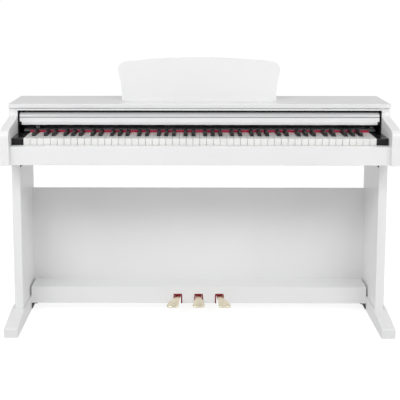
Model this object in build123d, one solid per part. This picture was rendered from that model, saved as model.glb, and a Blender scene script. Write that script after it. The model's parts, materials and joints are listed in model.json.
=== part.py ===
from build123d import *
import math
import os

# Upright home digital piano on its own stand, in millimetres.
# X runs along the keyboard, Y from the front (-) to the back (+), Z up from the floor.
# The origin is the middle of the footprint, on the floor.

# Keyboard: 52 naturals at the standard pitch, from A0 to C8.
WHITE_PITCH = 23.5
WHITE_COUNT = 52
BLACK_SLOT = 13.7
KEY_GAP = 1.0
KEYS_W = WHITE_PITCH * WHITE_COUNT
KEY_LEFT = -KEYS_W / 2
KEY_FRONT = -170.0
KEY_VISIBLE = 145.0
KEY_LENGTH = 225.0
KEY_TOP = 700.0
KEY_THICK = 10.0
KEY_LIP = 23.0
KEY_LIP_T = 3.0
BLACK_FRONT = KEY_FRONT + 52.0
BLACK_BACK = KEY_FRONT + 144.0
BLACK_RISE = 12.0
BLACK_BASE_W = BLACK_SLOT - KEY_GAP
BLACK_TOP_W = 9.6
BLACK_NOSE = 7.0
BLACK_FRONT_GAP = 1.5
ROD_Y = 45.0
ROD_Z = 680.0
ROD_R = 2.0
LUG_W = 8.0
LUG_L = 16.0
RUN_GAP = 0.05

# Case
CASE_HALF = 652.8
ARM_T = 31.2
ARM_OUT = CASE_HALF + ARM_T
ARM_FRONT = -225.0
ARM_NOSE_Z = 732.0
ARM_RISER_Y = -30.0
ARM_RISER_Z = 760.0
CASE_BACK = 225.0
CASE_Z = 613.0
BED_T = 15.0
BED_TOP = CASE_Z + BED_T
SLIP_FRONT = -210.0
SLIP_TOP = KEY_TOP - KEY_LIP
SLIP_BACK = KEY_FRONT - 2.0
BOARD_T = 18.0
REAR_FRONT = 205.0
REAR_T = 12.0
LID_HALF = 686.0
LID_FRONT = -37.0
LID_BACK = 230.0
LID_Z = 789.0
LID_TOP = 804.0
FASCIA_FRONT = -30.0
FASCIA_T = 12.0
FASCIA_Z = 780.0
FASCIA_REBATE = (4.0, 1.8)
EDGE_R = 1.2
ARM_NOSE_R = 24.0
ARM_CURVE_R = 18.0
ARM_RIM_R = 2.5

# Stand
FOOT_IN = 636.0
FOOT_OUT = 684.0
FOOT_FRONT = -230.0
FOOT_BACK = 225.0
FOOT_NOSE_H = 36.0
FOOT_NOSE_R = 5.0
FOOT_H = 56.0
FOOT_RAMP_END = -80.0
GLIDE_H = 3.0
LEG_IN = 642.0
LEG_OUT = 672.0
LEG_FRONT = -75.0
LEG_BACK = 215.0
PANEL_FRONT = 180.0
PANEL_T = 15.0
PANEL_TOP = 451.0
BOX_FRONT = 70.0
BOX_Z = 28.0
BOX_TOP = 91.0
BOX_T = 15.0
BRACKET_T = 3.0
BRACKET_REACH = 22.0
BRACKET_DROP = 32.0

# Pedals
PEDAL_PITCH = 79.0
PEDAL_SHIFT = 20.0
PEDAL_HALF = 11.0
PEDAL_HEAD = 23.0
PEDAL_T = 8.5
PEDAL_TIP = -6.0
PEDAL_BOW = 7.0
PEDAL_TURN = 0.25
PEDAL_CORNER = 9.0
PEDAL_NECK = 72.0
PEDAL_TAIL = 6.0
PEDAL_TOP_LINE = [(72.0, 57.5), (25.0, 49.0), (-12.0, 41.0)]
PIVOT_Y = 150.0
PIVOT_Z = 58.0
PIN_R = 3.0
HUB_R = 8.0
NOTCH_HALF = 12.2
NOTCH_TOP = 59.5
LINING_T = 3.6
LINING_TOP_T = 5.4
EAR_T = 3.0
FRAME_Z = 73.0
FRAME_T = 3.0
FRAME_FRONT = 100.0
FRAME_HALF = 115.0

# Sliding key cover: it runs along a slope parallel to the arm rests.
SLOPE = 7.7
COVER_Y = KEY_FRONT + KEY_VISIBLE
COVER_Z = KEY_TOP + 56.0
COVER_HALF = 640.0
COVER_L = 205.0
COVER_T = 3.0
COVER_TUCK = 5.0
RAIL_FACE = KEY_FRONT + 134.5
RAIL_LOW = KEY_TOP + 28.6
RAIL_STEP = 11.4
RAIL_H = 43.4
RAIL_WALL = 6.5
RAIL_HALF = 646.0
RAIL_LIP_HALF = 639.0
RAIL_END = 648.5
RUNNER_T = 5.2
RUNNER_L = 35.0
TRACK_FRONT = KEY_FRONT + 134.0
TRACK_IN = 649.0
GROOVE_DEPTH = 2.4
GROOVE_GAP = 0.4

# Control panel
DECK_SLOPE = 20.0
DECK_FRONT = KEY_FRONT + 150.0
DECK_Z = KEY_TOP + 6.5
DECK_BACK = KEY_FRONT + 230.0
DECK_HALF = 634.0
DECK_T = 3.0
BUTTON_W = 12.0
BUTTON_D = 6.0
BUTTON_H = 6.0
BUTTON_PROUD = 2.0
BUTTON_GAP = 0.4
BUTTON_ROW = 22.0
BUTTON_X = {"voice_button": -120.0, "metronome_button": -96.0, "record_button": -72.0, "power_button": 624.0}
SLIDER_X = -587.0
SLIDER_TRAVEL = 28.0
SLIDER_CAP = (14.0, 7.0, 5.0)
SLIDER_STEM = (4.0, 2.4, 5.0)

# Music rest
REST_Y = 80.0
REST_LEAN = 12.0
REST_BASE_HALF = 286.0
REST_HALF = 302.0
REST_SHOULDER = 142.0
REST_CROWN = 161.0
REST_T = 15.0
REST_CORNER = 30.0
LEDGE_D = 24.0
LEDGE_H = 7.0
LEDGE_LIP = 5.0

# Electronics and fixings
SPEAKER_X = 420.0
SPEAKER_Y = 136.0
SPEAKER_R = 52.0
SCREW_R = 2.0
HEAD_R = 4.2
HEAD_H = 2.4
SCREW_L = 10.0
SOCKET_X = 520.0
SOCKET_Z = 690.0
JACK_R = 3.2

NATURALS = ["c", "d", "e", "f", "g", "a", "b"]
LOW_GROUP = ["c", "c_sharp", "d", "d_sharp", "e"]
HIGH_GROUP = ["f", "f_sharp", "g", "g_sharp", "a", "a_sharp", "b"]


def block(x0, x1, y0, y1, z0, z1):
    centre = ((x0 + x1) / 2, (y0 + y1) / 2, (z0 + z1) / 2)
    return Pos(*centre) * Box(x1 - x0, y1 - y0, z1 - z0)


def slab_x(points, x0, x1):
    """A solid with the given (y, z) outline, running from x0 to x1."""
    outline = make_face(Polyline(*points, close=True))
    return extrude(Plane.YZ.offset(x0) * outline, amount=x1 - x0)


def rod_x(x0, x1, y, z, r):
    return Pos((x0 + x1) / 2, y, z) * Rot(0, 90, 0) * Cylinder(r, x1 - x0)


def soften(solid, axis, r):
    return fillet(solid.edges().filter_by(axis), r)


def both_sides(solid):
    return [solid, mirror(solid, about=Plane.YZ)]


# ---------------------------------------------------------------- stand


def is_upper_rim(edge):
    """True for a foot's outer edges, apart from those of its underside and its back."""
    return edge.center().Z > GLIDE_H + 1 and edge.center().Y < FOOT_BACK - 1


def foot():
    outline = [
        (FOOT_FRONT, GLIDE_H),
        (FOOT_FRONT, FOOT_NOSE_H),
        (FOOT_RAMP_END, FOOT_H),
        (FOOT_BACK, FOOT_H),
        (FOOT_BACK, GLIDE_H),
    ]
    solid = slab_x(outline, FOOT_IN, FOOT_OUT)
    solid = fillet(solid.edges().filter_by(Axis.X).group_by(Axis.Y)[0].sort_by(Axis.Z)[-1], FOOT_NOSE_R)
    return fillet([edge for edge in solid.edges() if is_upper_rim(edge)], EDGE_R)


def leg():
    return soften(block(LEG_IN, LEG_OUT, LEG_FRONT, LEG_BACK, FOOT_H, CASE_Z), Axis.Z, EDGE_R)


def back_panel():
    upper = block(-LEG_IN, LEG_IN, PANEL_FRONT, PANEL_FRONT + PANEL_T, FOOT_H, PANEL_TOP)
    upper = fillet(upper.faces().sort_by(Axis.Z)[-1].edges().filter_by(Axis.X), EDGE_R)
    return upper + block(-FOOT_IN, FOOT_IN, PANEL_FRONT, PANEL_FRONT + PANEL_T, BOX_Z, FOOT_H)


def pedal_places():
    return [-PEDAL_PITCH, 0.0, PEDAL_PITCH]


def pedal_box_front():
    solid = block(-FOOT_IN, FOOT_IN, BOX_FRONT, BOX_FRONT + BOX_T, BOX_Z, BOX_TOP)
    solid = soften(solid, Axis.X, EDGE_R)
    half = NOTCH_HALF + LINING_T
    for x in pedal_places():
        solid -= block(x - half, x + half, BOX_FRONT - 1, BOX_FRONT + BOX_T + 1, 0, NOTCH_TOP + LINING_TOP_T)
    return solid


def pedal_box_top():
    return block(-FOOT_IN, FOOT_IN, BOX_FRONT + BOX_T, PANEL_FRONT, BOX_TOP - BOX_T, BOX_TOP)


def pedal_notch_lining():
    half = NOTCH_HALF + LINING_T
    y1 = BOX_FRONT + BOX_T
    liners = []
    for x in pedal_places():
        outer = block(x - half, x + half, BOX_FRONT, y1, BOX_Z, NOTCH_TOP + LINING_TOP_T)
        liners.append(outer - block(x - NOTCH_HALF, x + NOTCH_HALF, BOX_FRONT - 1, y1 + 1, 0, NOTCH_TOP))
    return Compound(liners)


def pedal_frame():
    solid = block(-FRAME_HALF, FRAME_HALF, FRAME_FRONT, PANEL_FRONT, FRAME_Z, FRAME_Z + FRAME_T)
    for x in pedal_places():
        for side in (-1, 1):
            near = x + side * (PEDAL_HALF + 10)
            x0, x1 = sorted([near, near + side * EAR_T])
            solid += block(x0, x1, PIVOT_Y - 10, PIVOT_Y + 10, PIVOT_Z - 10, FRAME_Z)
    return solid - rod_x(-FRAME_HALF, FRAME_HALF, PIVOT_Y, PIVOT_Z, PIN_R + RUN_GAP)


def pedal_pin():
    reach = PEDAL_PITCH + PEDAL_HALF + 16
    return rod_x(-reach, reach, PIVOT_Y, PIVOT_Z, PIN_R)


def pedal_springs():
    """Close-wound torsion springs on the pin, beside each pedal's hub, each with an arm up to the frame."""
    wire = 1.0
    bore = PIN_R + 0.6
    length = 7.4
    springs = []
    for x in pedal_places():
        start = x + PEDAL_HALF + 1.2
        coil = rod_x(start, start + length, PIVOT_Y, PIVOT_Z, bore + 2 * wire)
        coil -= rod_x(start - 1, start + length + 1, PIVOT_Y, PIVOT_Z, bore)
        for turn in (1, 2, 3):
            groove = start + turn * length / 4
            coil -= Pos(groove, PIVOT_Y, PIVOT_Z) * Rot(0, 90, 0) * Torus(bore + 2 * wire, 0.35)
        arm_y = PIVOT_Y + bore + wire
        arm = Pos(start + wire, arm_y, (PIVOT_Z + FRAME_Z) / 2) * Cylinder(wire, FRAME_Z - PIVOT_Z)
        springs.append(coil + arm)
    return Compound(springs)


def pedal(shift):
    """A pedal lever about x = 0, whose head is carried sideways by shift."""
    back = PIVOT_Y + PEDAL_TAIL
    head = PEDAL_TIP + PEDAL_BOW
    turn = shift * PEDAL_TURN
    inner = (-PEDAL_HALF, PEDAL_NECK)
    outer = (PEDAL_HALF, PEDAL_NECK)
    left = Spline(inner, (shift - PEDAL_HEAD, head - turn), tangents=[(0, -1), (turn, -10)])
    right = Spline((shift + PEDAL_HEAD, head + turn), outer, tangents=[(-turn, 10), (0, 1)])
    tip = ThreePointArc(left @ 1, (shift, PEDAL_TIP), right @ 0)
    rear = Polyline(outer, (PEDAL_HALF, back), (-PEDAL_HALF, back), inner)
    plan = extrude(make_face([left, tip, right, rear]), amount=2 * PIVOT_Z)
    corners = plan.edges().filter_by(Axis.Z).sort_by(Axis.Y)[:2]
    plan = fillet(corners, PEDAL_CORNER)
    line = [(back, PIVOT_Z + 3)] + PEDAL_TOP_LINE
    top = Spline(*line)
    under = Spline(*[(y, z - PEDAL_T) for y, z in reversed(line)])
    ends = [Line(top @ 1, under @ 0), Line(under @ 1, top @ 0)]
    side = extrude(Plane.YZ.offset(-PEDAL_PITCH) * make_face([top, under] + ends), amount=2 * PEDAL_PITCH)
    lever = plan & side
    lever = lever + rod_x(-PEDAL_HALF, PEDAL_HALF, PIVOT_Y, PIVOT_Z, HUB_R)
    return lever - rod_x(-PEDAL_HALF - 1, PEDAL_HALF + 1, PIVOT_Y, PIVOT_Z, PIN_R + RUN_GAP)


def bracket_flat(x_face, y0, y1, z0, z1):
    """One steel angle: a flange on the inside of the side board and a flange under the panel above it."""
    side = block(x_face - BRACKET_T, x_face, y0, y1, z0, z1)
    return side + block(x_face - BRACKET_REACH, x_face, y0, y1, z1 - BRACKET_T, z1)


def corner_brackets():
    brackets = []
    low = CASE_Z - BRACKET_DROP
    brackets += both_sides(bracket_flat(LEG_IN, LEG_FRONT + 3, LEG_FRONT + 43, low, CASE_Z))
    brackets += both_sides(bracket_flat(LEG_IN, LEG_BACK - 60, LEG_BACK - 20, low, CASE_Z))
    brackets += both_sides(bracket_flat(FOOT_IN, BOX_FRONT + 2, BOX_FRONT + 102, 5, BOX_Z))
    brackets += both_sides(bracket_flat(FOOT_IN, BOX_FRONT + 30, BOX_FRONT + 70, 48, BOX_TOP - BOX_T))
    return brackets


def foot_glides():
    pads = []
    mid = (FOOT_IN + FOOT_OUT) / 2
    for y in (FOOT_FRONT + 30, FOOT_BACK - 30):
        pads += both_sides(Pos(mid, y, GLIDE_H / 2) * Cylinder(14, GLIDE_H))
    return Compound(pads)


# ---------------------------------------------------------------- case


def keybed():
    solid = block(-CASE_HALF, CASE_HALF, SLIP_FRONT + BOARD_T, REAR_FRONT + REAR_T, CASE_Z, BED_TOP)
    for x in (-SPEAKER_X, SPEAKER_X):
        solid -= Pos(x, SPEAKER_Y, CASE_Z) * Cylinder(SPEAKER_R, 4 * BED_T)
    return solid


def key_slip():
    outline = [
        (SLIP_FRONT, CASE_Z),
        (SLIP_FRONT, SLIP_TOP),
        (SLIP_BACK, SLIP_TOP),
        (SLIP_BACK, SLIP_TOP - BED_T),
        (SLIP_FRONT + BOARD_T, SLIP_TOP - BED_T),
        (SLIP_FRONT + BOARD_T, CASE_Z),
    ]
    solid = slab_x(outline, -CASE_HALF, CASE_HALF)
    return fillet(solid.edges().filter_by(Axis.X).group_by(Axis.Y)[0], 2)


def arm():
    outline = [
        (ARM_FRONT, CASE_Z),
        (ARM_FRONT, ARM_NOSE_Z),
        (ARM_RISER_Y, ARM_RISER_Z),
        (ARM_RISER_Y, LID_Z),
        (CASE_BACK, LID_Z),
        (CASE_BACK, CASE_Z),
    ]
    solid = slab_x(outline, CASE_HALF, ARM_OUT)
    along = solid.edges().filter_by(Axis.X)
    nose = along.group_by(Axis.Y)[0].sort_by(Axis.Z)[-1]
    solid = fillet(nose, ARM_NOSE_R)
    inner = solid.edges().filter_by(Axis.X).filter_by_position(Axis.Z, ARM_RISER_Z - 1, ARM_RISER_Z + 1)
    solid = fillet(inner, ARM_CURVE_R)
    face = solid.faces().sort_by(Axis.X)[-1]
    rim = [e for e in face.edges() if e.center().Y < ARM_RISER_Y + 2]
    return fillet(rim, ARM_RIM_R)


def lid():
    solid = block(-LID_HALF, LID_HALF, LID_FRONT, LID_BACK, LID_Z, LID_TOP)
    solid = fillet(solid.edges().filter_by(Axis.Z).group_by(Axis.Y)[0], 4)
    solid = fillet(solid.faces().sort_by(Axis.Z)[-1].edges(), 2)
    return fillet(solid.faces().sort_by(Axis.Z)[0].edges(), EDGE_R)


def fascia():
    """A narrow board under the lid, with a rebate along its top edge that leaves a shadow line."""
    deep, high = FASCIA_REBATE
    solid = block(-CASE_HALF, CASE_HALF, FASCIA_FRONT, FASCIA_FRONT + FASCIA_T, FASCIA_Z, LID_Z)
    solid -= block(-CASE_HALF, CASE_HALF, FASCIA_FRONT - 1, FASCIA_FRONT + deep, LID_Z - high, LID_Z + 1)
    return fillet(solid.edges().filter_by(Axis.X).group_by(Axis.Y)[0], EDGE_R / 2)


def rear_panel():
    solid = block(-CASE_HALF, CASE_HALF, REAR_FRONT, REAR_FRONT + REAR_T, BED_TOP, LID_Z)
    return solid - block(SOCKET_X - 40, SOCKET_X + 40, 0, LID_BACK, SOCKET_Z - 14, SOCKET_Z + 14)


def key_block():
    solid = block(KEYS_W / 2 + 1, CASE_HALF, KEY_FRONT, TRACK_FRONT - 0.5, BED_TOP, KEY_TOP)
    return fillet(solid.edges().filter_by(Axis.X).group_by(Axis.Y)[0].sort_by(Axis.Z)[-1], 3)


# ---------------------------------------------------------------- key cover

COVER_PLANE = Plane(
    origin=(0, COVER_Y, COVER_Z),
    x_dir=(1, 0, 0),
    z_dir=(0, -math.sin(math.radians(SLOPE)), math.cos(math.radians(SLOPE))),
)


def from_rail(points):
    """Places points given as (depth behind the rail's face, height above its lower edge)."""
    return [(RAIL_FACE + depth, RAIL_LOW + height) for depth, height in points]


def rail_lip_outline():
    return from_rail([(2, 0), (0, RAIL_STEP - 0.8), (1.5, RAIL_STEP), (RAIL_WALL, RAIL_STEP), (RAIL_WALL, 0)])


def rail_outline():
    """Front wall with a groove line and a round bead that turns back over the top."""
    groove = [(1, 25.6), (3, 26.2), (3, 28), (0.8, 28.4)]
    front = Polyline(*from_rail([(RAIL_WALL, RAIL_STEP), (1.4, RAIL_STEP)] + groove))
    bead = ThreePointArc(*from_rail([(0.8, 28.4), (3.9, 38), (12.5, RAIL_H)]))
    under = RAIL_H - 3.5
    back = [(12.5, RAIL_H), (23, RAIL_H), (23, under), (RAIL_WALL, under), (RAIL_WALL, RAIL_STEP)]
    return make_face([front, bead, Polyline(*from_rail(back))])


def cover_rail():
    main = extrude(Plane.YZ.offset(-RAIL_HALF) * rail_outline(), amount=2 * RAIL_HALF)
    return main + slab_x(rail_lip_outline(), -RAIL_LIP_HALF, RAIL_LIP_HALF)


def cover_end_caps():
    outline = from_rail([(1.5, 0), (0.5, 29.4), (12.5, RAIL_H + 1), (24, RAIL_H + 1), (24, 0)])
    plate = slab_x(outline, RAIL_HALF, RAIL_END)
    cap = plate + slab_x(rail_lip_outline(), RAIL_LIP_HALF, RAIL_HALF)
    return Compound(both_sides(cap))


def cover_panel():
    sheet = block(-COVER_HALF, COVER_HALF, -COVER_TUCK, COVER_L, -COVER_T, 0)
    return COVER_PLANE * sheet - cover_rail()


def cover_runners():
    reach = TRACK_IN + GROOVE_DEPTH - GROOVE_GAP
    body = block(COVER_HALF - 14, reach, COVER_L - RUNNER_L - 2, COVER_L - 2, -COVER_T - RUNNER_T, -COVER_T)
    return Compound(both_sides(COVER_PLANE * body))


def cover_track():
    outline = [
        (TRACK_FRONT, BED_TOP),
        (TRACK_FRONT, FASCIA_Z - 0.5),
        (FASCIA_FRONT + FASCIA_T + 0.5, FASCIA_Z - 0.5),
        (FASCIA_FRONT + FASCIA_T + 0.5, LID_Z - 0.5),
        (REAR_FRONT - 2, LID_Z - 0.5),
        (REAR_FRONT - 2, COVER_Z - 30),
        (ROD_Y + 40, BED_TOP),
    ]
    plate = slab_x(outline, TRACK_IN, CASE_HALF)
    floor = -COVER_T - RUNNER_T - GROOVE_GAP
    groove = block(TRACK_IN - 1, TRACK_IN + GROOVE_DEPTH, -8, COVER_L, floor, -COVER_T + GROOVE_GAP)
    return plate - COVER_PLANE * groove


# ---------------------------------------------------------------- control panel

DECK_PLANE = Plane(
    origin=(0, DECK_FRONT, DECK_Z),
    x_dir=(1, 0, 0),
    z_dir=(0, -math.sin(math.radians(DECK_SLOPE)), math.cos(math.radians(DECK_SLOPE))),
)


def control_panel():
    rise = (DECK_BACK - DECK_FRONT) * math.tan(math.radians(DECK_SLOPE))
    lip = 3.5
    outline = [
        (DECK_FRONT, DECK_Z - lip),
        (DECK_FRONT, DECK_Z),
        (DECK_BACK, DECK_Z + rise),
        (DECK_BACK, BED_TOP),
        (DECK_BACK - DECK_T, BED_TOP),
        (DECK_BACK - DECK_T, DECK_Z + rise - DECK_T * 1.4),
        (DECK_FRONT + DECK_T, DECK_Z - DECK_T * 0.7),
        (DECK_FRONT + DECK_T, DECK_Z - lip),
    ]
    solid = slab_x(outline, -DECK_HALF, DECK_HALF)
    front_edge = solid.edges().filter_by(Axis.X).filter_by_position(Axis.Z, DECK_Z - 0.1, DECK_Z + 0.1)
    solid = fillet(front_edge, EDGE_R)
    for x in BUTTON_X.values():
        hole = Box(BUTTON_W + 2 * BUTTON_GAP, BUTTON_D + 2 * BUTTON_GAP, 20)
        solid -= DECK_PLANE * Pos(x, BUTTON_ROW, 0) * hole
    slot = Box(SLIDER_TRAVEL + SLIDER_STEM[0] + 2, SLIDER_STEM[1] + 1, 20)
    solid -= DECK_PLANE * Pos(SLIDER_X + SLIDER_TRAVEL / 2, BUTTON_ROW, 0) * slot
    return solid


def button(x):
    body = Pos(x, BUTTON_ROW, BUTTON_PROUD - BUTTON_H / 2) * Box(BUTTON_W, BUTTON_D, BUTTON_H)
    body = soften(body, Axis.Z, 1.2)
    return DECK_PLANE * fillet(body.faces().sort_by(Axis.Z)[-1].edges(), 0.5)


def volume_slider():
    wide, deep, high = SLIDER_CAP
    lift = 0.5
    cap = Pos(SLIDER_X, BUTTON_ROW, lift + high / 2) * Box(wide, deep, high)
    cap = fillet(cap.faces().sort_by(Axis.Z)[-1].edges(), 1)
    stem = Pos(SLIDER_X, BUTTON_ROW, 1 - SLIDER_STEM[2] / 2) * Box(*SLIDER_STEM)
    return DECK_PLANE * (cap + stem)


# ---------------------------------------------------------------- music rest


def rest_frame(solid):
    return Pos(0, REST_Y, LID_TOP) * Rot(-REST_LEAN, 0, 0) * solid


def music_rest():
    """A board with splayed ends, round shoulders and a bowed top edge, leaning back."""
    base = (REST_BASE_HALF, -6.0)
    shoulder = (REST_HALF, REST_SHOULDER)
    flare = [base, (REST_BASE_HALF + 1, 36), (REST_HALF - 6, 90), shoulder]
    right = Spline(*flare, tangents=[(0, 1), (0, 1)])
    left = Spline(*[(-x, z) for x, z in reversed(flare)], tangents=[(0, -1), (0, -1)])
    crown = ThreePointArc(right @ 1, (0, REST_CROWN), left @ 0)
    face = make_face([right, crown, left, Line(left @ 1, right @ 0)])
    face = fillet(face.vertices().group_by(Axis.Y)[-1], REST_CORNER)
    board = extrude(Plane.XZ * face, amount=-REST_T)
    rim = [edge for edge in board.edges().filter_by(Axis.Y, reverse=True) if edge.center().Z > 0]
    board = rest_frame(fillet(rim, EDGE_R))
    board -= block(-REST_HALF, REST_HALF, -500, 500, LID_TOP - 50, LID_TOP)
    return board


def music_rest_ledge():
    half = REST_BASE_HALF - 12
    y0 = REST_Y - LEDGE_D
    outline = [
        (y0, LID_TOP),
        (y0, LID_TOP + LEDGE_H + LEDGE_LIP),
        (y0 + 5, LID_TOP + LEDGE_H + LEDGE_LIP),
        (y0 + 5, LID_TOP + LEDGE_H),
        (REST_Y + 4, LID_TOP + LEDGE_H),
        (REST_Y + 4, LID_TOP),
    ]
    bar = slab_x(outline, -half, half) - music_rest()
    return fillet(bar.edges().filter_by(Axis.X).group_by(Axis.Z)[-1], 1.5)


def music_rest_brackets():
    """Two gussets behind the rest, screwed to the lid and to the board's back."""
    lean = math.tan(math.radians(REST_LEAN))
    back = REST_Y + REST_T / math.cos(math.radians(REST_LEAN))
    high = 70.0
    outline = [
        (back + 0.05, LID_TOP),
        (back + high * lean + 0.05, LID_TOP + high),
        (back + high * lean + 10, LID_TOP + high),
        (back + 62, LID_TOP + 6),
        (back + 62, LID_TOP),
    ]
    return Compound(both_sides(slab_x(outline, 196, 204)))


# ---------------------------------------------------------------- keys


def tail_spans():
    """Where each note's shank lies across an octave that starts at C."""
    spans = {}
    x = 0.0
    for group in (LOW_GROUP, HIGH_GROUP):
        sharps = len([n for n in group if n.endswith("sharp")])
        naturals = len(group) - sharps
        tail = (naturals * WHITE_PITCH - sharps * BLACK_SLOT) / naturals
        for note in group:
            width = BLACK_SLOT if note.endswith("sharp") else tail
            spans[note] = (x, x + width)
            x += width
    return spans


def octave_x(octave):
    return KEY_LEFT + (7 * octave - NATURALS.index("a")) * WHITE_PITCH


def octaves_of(note):
    if note == "c":
        return range(1, 9)
    return range(0, 8) if note in ("a", "a_sharp", "b") else range(1, 8)


def lug(x0, x1):
    mid = (x0 + x1) / 2
    y0 = ROD_Y - LUG_L / 2
    solid = block(mid - LUG_W / 2, mid + LUG_W / 2, y0, y0 + LUG_L, ROD_Z - 8, KEY_TOP - KEY_THICK)
    return solid - rod_x(mid - LUG_W, mid + LUG_W, ROD_Y, ROD_Z, ROD_R + RUN_GAP)


def white_key(note, octave):
    spans = tail_spans()
    x0 = NATURALS.index(note) * WHITE_PITCH
    x1 = x0 + WHITE_PITCH
    t0, t1 = spans[note]
    if (note, octave) == ("a", 0):
        t0 = x0
    if (note, octave) == ("c", 8):
        t1 = x1
    gap = KEY_GAP / 2
    under = KEY_TOP - KEY_THICK
    wide = block(x0 + gap, x1 - gap, KEY_FRONT, BLACK_FRONT - BLACK_FRONT_GAP, under, KEY_TOP)
    lip = block(x0 + gap, x1 - gap, KEY_FRONT, KEY_FRONT + KEY_LIP_T, KEY_TOP - KEY_LIP, KEY_TOP)
    shank = block(t0 + gap, t1 - gap, BLACK_FRONT - 10, KEY_FRONT + KEY_LENGTH, under, KEY_TOP)
    solid = wide + lip + shank
    front = solid.faces().sort_by(Axis.Y)[0].edges()
    solid = fillet(front.group_by(Axis.Z)[-1] + front.filter_by(Axis.Z), 1)
    return solid + lug(t0 + gap, t1 - gap)


def black_key(note):
    t0, t1 = tail_spans()[note]
    mid = (t0 + t1) / 2
    half = BLACK_BASE_W / 2
    base = block(mid - half, mid + half, BLACK_FRONT, KEY_FRONT + KEY_LENGTH, KEY_TOP - KEY_THICK, KEY_TOP)
    length = BLACK_BACK - BLACK_FRONT
    shorter = length - BLACK_NOSE
    low = Pos(mid, BLACK_BACK - length / 2, KEY_TOP) * Rectangle(BLACK_BASE_W - 0.6, length)
    high = Pos(mid, BLACK_BACK - shorter / 2, KEY_TOP + BLACK_RISE) * Rectangle(BLACK_TOP_W, shorter)
    cap = loft([low, high])
    cap = fillet(cap.faces().sort_by(Axis.Z)[-1].edges(), 1.4)
    return base + cap + lug(t0, t1)


def key_group(note):
    keys = []
    for octave in octaves_of(note):
        if note.endswith("sharp"):
            key = black_key(note)
        else:
            key = white_key(note, octave)
        keys.append(Pos(octave_x(octave), 0, 0) * key)
    return Compound(keys)


def key_rod():
    return rod_x(KEY_LEFT + 1, -KEY_LEFT - 1, ROD_Y, ROD_Z, ROD_R)


def key_chassis():
    """Base plate, front stop rail and the ribs that carry the pivot rod."""
    solid = block(KEY_LEFT, -KEY_LEFT, -152, DECK_BACK - DECK_T - 1, BED_TOP, BED_TOP + 4)
    solid += block(KEY_LEFT, -KEY_LEFT, -150, -138, BED_TOP, KEY_TOP - KEY_THICK - 9.5)
    ribs = [KEY_LEFT + 2.5, -KEY_LEFT - 2.5] + [octave_x(n) for n in range(1, 9)]
    for x in ribs:
        solid += block(x - 1.5, x + 1.5, ROD_Y - 11, ROD_Y + 9, BED_TOP, ROD_Z + 6)
    return solid - rod_x(KEY_LEFT - 5, 5 - KEY_LEFT, ROD_Y, ROD_Z, ROD_R + RUN_GAP)


def felt_strip():
    y = KEY_FRONT + 146.2
    return block(KEY_LEFT, -KEY_LEFT, y, DECK_FRONT, KEY_TOP + 0.6, DECK_Z + 1)


# ---------------------------------------------------------------- electronics and fixings


def speakers():
    outline = Polyline(
        (SPEAKER_R, BED_TOP),
        (66, BED_TOP),
        (66, BED_TOP + 3),
        (58, BED_TOP + 3),
        (34, BED_TOP + 28),
        (34, BED_TOP + 50),
        (0, BED_TOP + 50),
        (0, BED_TOP + 20),
        (16, BED_TOP + 24),
        (SPEAKER_R - 2, BED_TOP + 4),
        close=True,
    )
    driver = revolve(Plane.XZ * make_face(outline), axis=Axis.Z)
    return Compound(both_sides(Pos(SPEAKER_X, SPEAKER_Y, 0) * driver))


def speaker_grilles():
    plate = Pos(SPEAKER_X, SPEAKER_Y, CASE_Z - 1.25) * Cylinder(62, 2.5)
    for row in range(-4, 5):
        half = math.sqrt(50**2 - (row * 11) ** 2)
        plate -= Pos(SPEAKER_X, SPEAKER_Y + row * 11, CASE_Z) * Box(2 * half, 5, 20)
    return Compound(both_sides(plate))


def circuit_board():
    z = BED_TOP + 8
    pieces = [block(-110, 110, 90, 180, z, z + 1.6)]
    for x in (-100, 100):
        for y in (98, 172):
            pieces.append(block(x - 4, x + 4, y - 4, y + 4, BED_TOP, z))
    for x, y, size in ((-50, 120, 24), (0, 140, 18), (45, 120, 14)):
        pieces.append(block(x - size / 2, x + size / 2, y - size / 2, y + size / 2, z + 1.6, z + 4))
    pieces.append(block(70, 95, 150, 176, z + 1.6, z + 12))
    return Compound(pieces)


def rear_sockets():
    """A black socket plate with a power inlet and two round jacks."""
    y = REAR_FRONT + REAR_T
    plate = block(SOCKET_X - 48, SOCKET_X + 48, y, y + 2, SOCKET_Z - 20, SOCKET_Z + 20)
    inlet = block(SOCKET_X - 36, SOCKET_X - 12, y - 16, y + 2, SOCKET_Z - 9, SOCKET_Z + 9)
    plate -= inlet
    jacks = []
    for x in (SOCKET_X + 8, SOCKET_X + 28):
        barrel = Pos(x, y - 11, SOCKET_Z) * Rot(90, 0, 0) * Cylinder(6, 26)
        plate -= barrel
        jacks.append(barrel - Pos(x, y, SOCKET_Z) * Rot(90, 0, 0) * Cylinder(JACK_R, 40))
    inlet -= block(SOCKET_X - 33.5, SOCKET_X - 14.5, y - 12, y + 3, SOCKET_Z - 6, SOCKET_Z + 6)
    return Compound([plate, inlet] + jacks)


def screw_places():
    """Head centre, outward direction and the two nodes that each screw holds."""
    places = []
    backward = (0, 1, 0)
    for side, leg_name in ((-1, "leg_left"), (1, "leg_right")):
        for y in (LEG_FRONT + 23, LEG_BACK - 40):
            at = (side * (LEG_IN - BRACKET_T), y, CASE_Z - BRACKET_DROP / 2)
            places.append((at, (-side, 0, 0), ("corner_brackets", leg_name)))
    for x in (-560, -280, 0, 280, 560):
        for z in (BED_TOP + 12, LID_Z - 14):
            places.append(((x, REAR_FRONT + REAR_T, z), backward, ("rear_panel",)))
    for x in (-500, -167, 167, 500):
        at = (x, PANEL_FRONT + PANEL_T, BOX_TOP - BOX_T / 2)
        places.append((at, backward, ("back_panel", "pedal_box_top")))
    return places


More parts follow.
